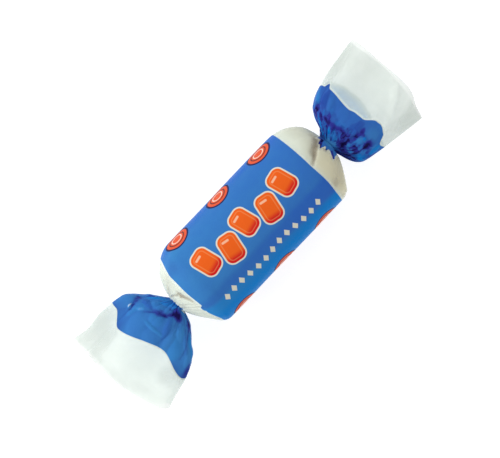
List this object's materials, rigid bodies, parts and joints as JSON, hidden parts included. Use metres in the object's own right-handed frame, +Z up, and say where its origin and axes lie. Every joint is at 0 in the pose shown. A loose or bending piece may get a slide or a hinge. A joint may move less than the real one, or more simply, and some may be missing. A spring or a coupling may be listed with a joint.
{
  "type": "wrapped caramel candy",
  "caption": "Cylindrical caramel candy in white waxed paper and a blue printed film, twisted to a neck and opening into a flared milky tail at each end.",
  "frame": {"origin": "under the middle of the candy's box, on the surface that it lies on", "axes": "+X along the roll from one tail to the other, +Z up, +Y level across the roll"},
  "size_m": [0.0776, 0.023, 0.018],
  "materials": {
    "printed_film": "gloss",
    "waxed_paper": "satin"
  },
  "bodies": {
    "root": {"film": "printed_film", "liner": "waxed_paper"}
  },
  "joints": []
}
